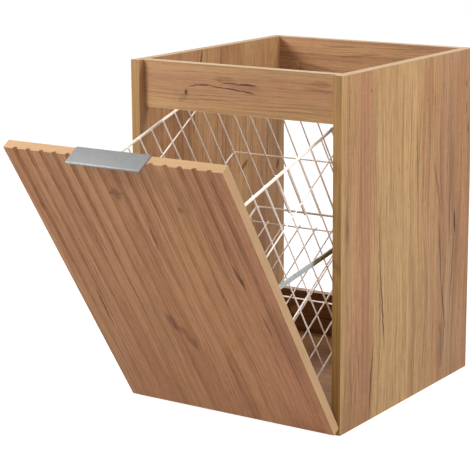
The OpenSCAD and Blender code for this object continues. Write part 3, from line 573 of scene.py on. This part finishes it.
# Hinge cups, pins and screws in the door: the cups are deep drawn in sheet steel and nickel
# plated. They turn on plain pins, and zinc-plated screws hold all that the door carries.
dress(nickel, "hinge_cup_left", "hinge_cup_right")
dress(plated_steel, "hinge_pins", "cup_screws", "handle_screws", "bracket_screws", "clip_screws")

# Edge pull: a strip of 2 mm aluminium, bent over the door's top edge, brushed along its length
# and anodised to a matt grey. Its flange is screwed to the door's back.
pull_half = 67  # half its length
pull_t = 2
pull_bend = 1.5  # radius of a bend's middle
pull_ease = 0.35  # its edges are sanded round by this much
pull_out = 18  # out in front of the door's face
pull_lip = 3  # down at the front, from its top
pull_flange = 20  # down the door's back, from the door's top
pull_front = pull_t / 2 - pull_out
pull_top = door_h + pull_t / 2
pull_back = door_t + pull_t / 2
pull_line = [
    (pull_front, door_h + pull_t - pull_lip), (pull_front, pull_top),
    (pull_back, pull_top), (pull_back, door_h - pull_flange),
]


def bent_strip(line, bend, thickness, steps=5):
    """The outline of a strip bent along a line of corners, its middle turning at each bend."""
    left, right = [], []
    for i, corner in enumerate(line):
        corner = Vector(corner)
        if i in (0, len(line) - 1):
            ahead = (Vector(line[1]) - corner if i == 0 else corner - Vector(line[-2])).normalized()
            spots = [(corner, ahead)]
        else:
            before = (corner - Vector(line[i - 1])).normalized()
            after = (Vector(line[i + 1]) - corner).normalized()
            centre = corner + (after - before) * bend
            spots = []
            for k in range(steps + 1):
                turn = math.pi / 2 * k / steps
                spots.append((
                    centre + (before * math.sin(turn) - after * math.cos(turn)) * bend,
                    before * math.cos(turn) + after * math.sin(turn),
                ))
        for spot, ahead in spots:
            side = Vector((-ahead.y, ahead.x)) * thickness / 2
            left.append(spot + side)
            right.append(spot - side)
    return left + right[::-1]


def make_plain(piece):
    """Turns a piece with live modifiers into a plain mesh under the same name."""
    evaluated = piece.evaluated_get(bpy.context.evaluated_depsgraph_get())
    plain = bpy.data.meshes.new_from_object(evaluated)
    piece.modifiers.clear()
    piece.data = plain


shape = bmesh.new()
outline = bent_strip(pull_line, pull_bend, pull_t)
ends = [
    [shape.verts.new(in_door(x, depth, height)) for depth, height in outline]
    for x in (-pull_half, pull_half)
]
shape.faces.new(ends[0])
shape.faces.new(ends[1][::-1])
for i in range(len(outline)):
    j = (i + 1) % len(outline)
    shape.faces.new((ends[0][i], ends[1][i], ends[1][j], ends[0][j]))
bmesh.ops.recalc_face_normals(shape, faces=shape.faces)
pull_mesh = bpy.data.meshes.new("edge_pull")
shape.to_mesh(pull_mesh)
shape.free()
anodised = metal("aluminium, brushed and anodised", "#8a8a8a", 0.62, (30, 0.5, 0.5), "#808082")
pull_mesh.materials.append(anodised)
pull = bpy.data.objects.new("edge_pull", pull_mesh)
bpy.context.collection.objects.link(pull)
eased = pull.modifiers.new("eased edges", "BEVEL")
eased.width = pull_ease / mm
eased.segments = 2
eased.limit_method = "ANGLE"
eased.angle_limit = math.radians(50)
make_plain(pull)
pull.data.shade_smooth()
pull.data.set_sharp_from_angle(angle=math.radians(35))
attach(pull, "door")
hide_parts("handle")

# Bumpers: small pads of clear soft polyurethane, cast, and stuck near the top corners of the
# door's back. Light comes through them with a faint haze.
pads, tree, shader, place = new_finish("polyurethane, cast clear and soft")
haze = stretched(tree, place, (2, 2, 2), 2)
connect(tree, shader, {
    "Base Color": add(tree, "ShaderNodeMix", {
        0: haze, colour_a: linear("#f0f0ea"), colour_b: linear("#d9d9d2"),
    }, data_type="RGBA"),
    "Roughness": add(tree, "ShaderNodeMapRange", {0: haze, to_min: 0.15, to_max: 0.35}),
    "Transmission Weight": 0.6,
    "IOR": 1.49,
})
dress(pads, "bumpers")

# Stays: flat bars of bright plated steel, riveted to a bracket on the door's back. They slide
# in the guides, and a dark plastic stop near the end of each bar holds the open door.
stay_steel = metal("strip steel, bright plated", "#c4cac6", 0.12, (0.6, 30, 0.6), "#aab0ae")
dress(stay_steel, "stay_left", "stay_right", "stay_bracket_left", "stay_bracket_right")
dress(plated_steel, "stay_rivets")
dress(moulded("polyamide, moulded, dark grey", "#3c3c3c", 0.55), "stay_stop_left", "stay_stop_right")

# Basket: drawn steel wire, spot welded where the wires cross and then dipped in white plastic
# powder. A 5 mm rim and a 4 mm ring stiffen it, and 2.6 mm wires make its sides and floor.
# Its places are those of the wires' middles, back from the door's face and up from its foot.
wire_d = 2.6
weld_d = wire_d + 0.1
mesh_x = 150  # side wires, out from the middle
mesh_front = 23.35
mesh_back = 409
side_pitch = 32
side_count = 11
cross_count = 8  # wires between the corners, at the front, at the rear and in the floor
cross_pitch = 2 * mesh_x / (cross_count + 1)
apart = 2.1  # between the middles of two wires that are welded across each other
corner_in = 1  # a corner wire stands this far inside the sides
rim_up = 445  # the rim at its front, from where it slopes down
rim_front = 19.5
rim_slope = math.radians(15.6)
ring_up = 57
wire_foot = 55  # upright wires start here, under the ring's middle
wire_over = 0.4  # and end this far over the rim's middle
weld_drop = 1  # they are welded to the rim this far under its middle
hoop_levels = (190, 325.2)
hoop_bend = 6
basket_floor = 50
floor_rows = (64, 224, 384)  # cross wires of the floor
floor_past = 3  # the long floor wires end this far past the first and the last of them
floor_bend = 1.6


def rim_at(depth):
    """Height of the rim's middle at a place back from the door's face."""
    return rim_up - (depth - rim_front) * math.tan(rim_slope)


def turned_wire(corners, bend, steps=8, closed=False):
    """Points along a wire through its corners, each corner turned at the bend's radius."""
    points = []
    count = len(corners)
    for i, corner in enumerate(corners):
        corner = Vector(corner)
        if not closed and i in (0, count - 1):
            points.append(corner)
            continue
        before = (Vector(corners[i - 1]) - corner).normalized()
        after = (Vector(corners[(i + 1) % count]) - corner).normalized()
        opening = before.angle(after)
        reach = bend / math.tan(opening / 2)
        centre = corner + (before + after).normalized() * bend / math.sin(opening / 2)
        first, last = corner + before * reach - centre, corner + after * reach - centre
        for k in range(steps + 1):
            points.append(centre + first.slerp(last, k / steps) * bend)
    return points


# Each path becomes a round wire. A weld's bead has any turn, and a size within 15 percent.
wire_tree = bpy.data.node_groups.new("drawn and welded wire", "GeometryNodeTree")
given = open_group(wire_tree, {
    "Paths": "Geometry", "Wire diameter": "Float", "Sides": "Int", "Weld size": "Float",
    "Coating": "Material",
}, {"Wires": "Geometry"})
radius = add(wire_tree, "ShaderNodeMath", {0: given.outputs["Wire diameter"], 1: 2}, operation="DIVIDE")
section = add(wire_tree, "GeometryNodeCurvePrimitiveCircle", {
    "Resolution": given.outputs["Sides"], "Radius": radius,
})
lengths = add(wire_tree, "GeometryNodeMeshToCurve", {"Mesh": given.outputs["Paths"]})
tubes = add(wire_tree, "GeometryNodeCurveToMesh", {
    "Curve": lengths, "Profile Curve": section, "Fill Caps": True,
})
weld = add(wire_tree, "GeometryNodeInputNamedAttribute", {"Name": "weld"}, data_type="BOOLEAN")
spots = add(wire_tree, "GeometryNodeMeshToPoints", {"Mesh": given.outputs["Paths"], "Selection": weld})
bead = add(wire_tree, "GeometryNodeMeshIcoSphere", {"Radius": 0.5, "Subdivisions": 2})
any_turn = add(wire_tree, "FunctionNodeRandomValue", {
    "Min": (0, 0, 0), "Max": (6, 6, 6), "Seed": 3,
}, data_type="FLOAT_VECTOR")
any_size = add(wire_tree, "FunctionNodeRandomValue", {2: 0.85, 3: 1.15, "Seed": 5}, data_type="FLOAT")
bead_size = add(wire_tree, "ShaderNodeMath", {
    0: given.outputs["Weld size"], 1: any_size,
}, operation="MULTIPLY")
beads = add(wire_tree, "GeometryNodeInstanceOnPoints", {
    "Points": spots, "Instance": bead, "Rotation": any_turn, "Scale": bead_size,
})
joined = add(wire_tree, "GeometryNodeJoinGeometry")
connect(wire_tree, joined, {0: tubes})
connect(wire_tree, joined, {0: beads})
real = add(wire_tree, "GeometryNodeRealizeInstances", {"Geometry": joined})
smooth = add(wire_tree, "GeometryNodeSetShadeSmooth", {"Geometry": real})
coated = add(wire_tree, "GeometryNodeSetMaterial", {
    "Geometry": smooth, "Material": given.outputs["Coating"],
})
add(wire_tree, "NodeGroupOutput", {"Wires": coated})

# Fluidised-bed powder coating flows a little thick at the welds and leaves an orange-peel skin,
# with dents about 2 mm apart and a soft gloss.
coating, tree, shader, place = new_finish("steel wire, dipped in white polyethylene powder")
peel = stretched(tree, place, (1.8, 1.8, 1.8), 3)
cloud = stretched(tree, place, (26, 26, 26), 2)
shade = add(tree, "ShaderNodeMix", {
    0: add(tree, "ShaderNodeMapRange", {0: cloud, from_min: 0.35, from_max: 0.7}),
    colour_a: linear("#fcf3e8"), colour_b: linear("#f4e8da"),
}, data_type="RGBA")
gloss = add(tree, "ShaderNodeMapRange", {0: peel, to_min: 0.28, to_max: 0.48})
bump = add(tree, "ShaderNodeBump", {"Strength": 0.3, "Distance": 0.0002, "Height": peel})
connect(tree, shader, {"Base Color": shade, "Roughness": gloss, "IOR": 1.54, "Normal": bump})
dress(coating, "basket_rim", "bottom_ring")


def wire_piece(name, paths, welds, *stands_for):
    """One piece of welded wires. A path is its points and whether it closes on itself."""
    points, edges, is_weld = [], [], []
    for path, closed in paths:
        first = len(points)
        points += [in_door(*spot) for spot in path]
        is_weld += [False] * len(path)
        edges += [(first + i, first + i + 1) for i in range(len(path) - 1)]
        if closed:
            edges.append((len(points) - 1, first))
    points += [in_door(*spot) for spot in welds]
    is_weld += [True] * len(welds)
    mesh = bpy.data.meshes.new(name)
    mesh.from_pydata(points, edges, [])
    mesh.attributes.new("weld", "BOOLEAN", "POINT").data.foreach_set("value", is_weld)
    piece = bpy.data.objects.new(name, mesh)
    bpy.context.collection.objects.link(piece)
    drawn = piece.modifiers.new("wire", "NODES")
    drawn.node_group = wire_tree
    sizes = {"Wire diameter": wire_d / mm, "Sides": 12, "Weld size": weld_d / mm, "Coating": coating}
    for socket in wire_tree.interface.items_tree:
        if socket.name in sizes:
            drawn[socket.identifier] = sizes[socket.name]
    make_plain(piece)
    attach(piece, "door")
    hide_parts(*stands_for)


def upright_wire(x, depth):
    """The path of one upright wire, from under the bottom ring to just over the rim's middle."""
    return [(x, depth, wire_foot), (x, depth, rim_at(depth) + wire_over)], False


def upright_welds(x, depth, out_x, out_back):
    """An upright wire's welds to the hoops, the ring and the rim, which lie outward of it."""
    welds = [(apart / 2, level) for level in hoop_levels]
    welds += [(wire_d / 2, level) for level in (ring_up, rim_at(depth) - weld_drop)]
    return [(x + out_x * out, depth + out_back * out, level) for out, level in welds]


# Side wires, and the two hoops round the basket that they are welded to.
rear_hoop, front_hoop, side_hoop = mesh_back + apart, mesh_front - apart, mesh_x + apart
side_depths = [mesh_back - i * side_pitch for i in range(1, side_count + 1)]
paths, welds = [], []
for s in (-1, 1):
    for depth in side_depths:
        paths.append(upright_wire(s * mesh_x, depth))
        welds += upright_welds(s * mesh_x, depth, s, 0)
for level in hoop_levels:
    corners = [
        (-side_hoop, front_hoop, level), (side_hoop, front_hoop, level),
        (side_hoop, rear_hoop, level), (-side_hoop, rear_hoop, level),
    ]
    paths.append((turned_wire(corners, hoop_bend, closed=True), True))
wire_piece("basket_side_wires", paths, welds, "side_net_left", "side_net_right")

# Front, rear and corner wires, and the floor: wires from front to rear over three cross wires
# that turn up to the ring.
cross_places = [-mesh_x + i * cross_pitch for i in range(1, cross_count + 1)]
paths, welds = [], []
for x in cross_places:
    floor_ends = (floor_rows[0] - floor_past, floor_rows[-1] + floor_past)
    paths.append(([(x, depth, basket_floor) for depth in floor_ends], False))
    for depth, out in ((mesh_front, -1), (mesh_back, 1)):
        paths.append(upright_wire(x, depth))
        welds += upright_welds(x, depth, 0, out)
for s in (-1, 1):
    for depth in (mesh_front + corner_in, mesh_back - corner_in):
        paths.append(upright_wire(s * (mesh_x - corner_in), depth))
        welds += [(s * (mesh_x - corner_in), depth, level) for level in (ring_up, *hoop_levels)]
for depth in floor_rows:
    low, high = basket_floor - apart, ring_up + wire_d / 2
    corners = [(-mesh_x, depth, high), (-mesh_x, depth, low), (mesh_x, depth, low), (mesh_x, depth, high)]
    paths.append((turned_wire(corners, floor_bend, 4), False))
    welds += [(x, depth, basket_floor - apart / 2) for x in cross_places]
    welds += [(s * (mesh_x + wire_d / 2), depth, ring_up) for s in (-1, 1)]
wire_piece("basket_long_wires", paths, welds, "rear_net", "front_net", "floor_net")

# Clips: straps of plated strip steel over the rim's and the ring's front wires, screwed to the
# door's back.
dress(stay_steel, "basket_clips")

# Studio: a plain white floor that keeps a soft shadow, a low key lamp at the front left, a broad
# lamp high on the right, a weak one beside the camera, and weaker light from everywhere. The
# floor lies 0.3 mm under the cabinet. The camera sees it as a glow, so that it comes out white.
bpy.ops.mesh.primitive_plane_add(size=12, location=(0, 0, -0.3 / mm))
floor = bpy.context.object
floor.name = "studio_floor"
white_floor, tree, shader, _ = new_finish("painted board, white")
white = "#ffffff"
connect(tree, shader, {"Base Color": darker(white, 0.8), "Roughness": 1})
shadow_catcher = add(tree, "ShaderNodeBsdfDiffuse", {"Color": darker(white, 0.36)})
glow = add(tree, "ShaderNodeEmission", {"Color": linear(white), "Strength": 0.94})
seen = add(tree, "ShaderNodeAddShader", {0: shadow_catcher, 1: glow})
rays = add(tree, "ShaderNodeLightPath")
mixed = add(tree, "ShaderNodeMixShader", {0: rays.outputs["Is Camera Ray"], 1: shader, 2: seen})
output = next(n for n in tree.nodes if n.bl_idname == "ShaderNodeOutputMaterial")
connect(tree, output, {"Surface": mixed})
floor.data.materials.append(white_floor)

# The world is white where it is seen, through glass or in metal too, and lights with a fifth.
world = bpy.data.worlds.new("studio light")
world.use_nodes = True
bpy.context.scene.world = world
tree = world.node_tree
tree.nodes.clear()
rays = add(tree, "ShaderNodeLightPath")
direct = add(tree, "ShaderNodeMath", {
    0: rays.outputs["Is Camera Ray"], 1: rays.outputs["Is Transmission Ray"],
}, operation="MAXIMUM")
direct = add(tree, "ShaderNodeMath", {0: direct, 1: rays.outputs["Is Glossy Ray"]}, operation="MAXIMUM")
sky = add(tree, "ShaderNodeBackground", {
    "Color": linear(white),
    "Strength": add(tree, "ShaderNodeMapRange", {0: direct, to_min: 0.2, to_max: 1}),
})
add(tree, "ShaderNodeOutputWorld", {"Surface": sky})

# Each lamp's name, place in metres, width in metres and power in watts
lamp_aim = Vector((0, 0, 0.3))
for name, hung_at, width, power in (
    ("key_lamp", (-1.25, -1.55, 1.4), 0.65, 41),
    ("high_lamp", (1.6, 0.35, 2.2), 1.0, 48),
    ("front_lamp", (1.5, -2.6, 1.3), 1.6, 15),
):
    lamp = bpy.data.lights.new(name, "AREA")
    lamp.size = width
    lamp.energy = power
    hung = bpy.data.objects.new(name, lamp)
    hung.location = hung_at
    hung.rotation_euler = (lamp_aim - Vector(hung_at)).to_track_quat("-Z", "Y").to_euler()
    bpy.context.collection.objects.link(hung)

# The camera stands at the right of the front, 0.9 m high, and looks slightly down.
camera_turn, camera_dip, camera_roll = 0.5816, 0.2161, -0.0038
camera = bpy.data.objects.new("camera", bpy.data.cameras.new("camera"))
bpy.context.collection.objects.link(camera)
camera.data.sensor_width = 36
camera.data.lens = 129.4
camera.data.shift_x = -0.0453
camera.data.shift_y = -0.0275
camera.data.clip_end = 50
camera.location = (1.4792, -2.4040, 0.9007)
camera.rotation_euler = (
    Matrix.Rotation(camera_turn, 3, "Z")
    @ Matrix.Rotation(math.pi / 2 - camera_dip, 3, "X")
    @ Matrix.Rotation(camera_roll, 3, "Z")
).to_euler()
bpy.context.scene.camera = camera
bpy.context.scene.view_settings.view_transform = "Standard"
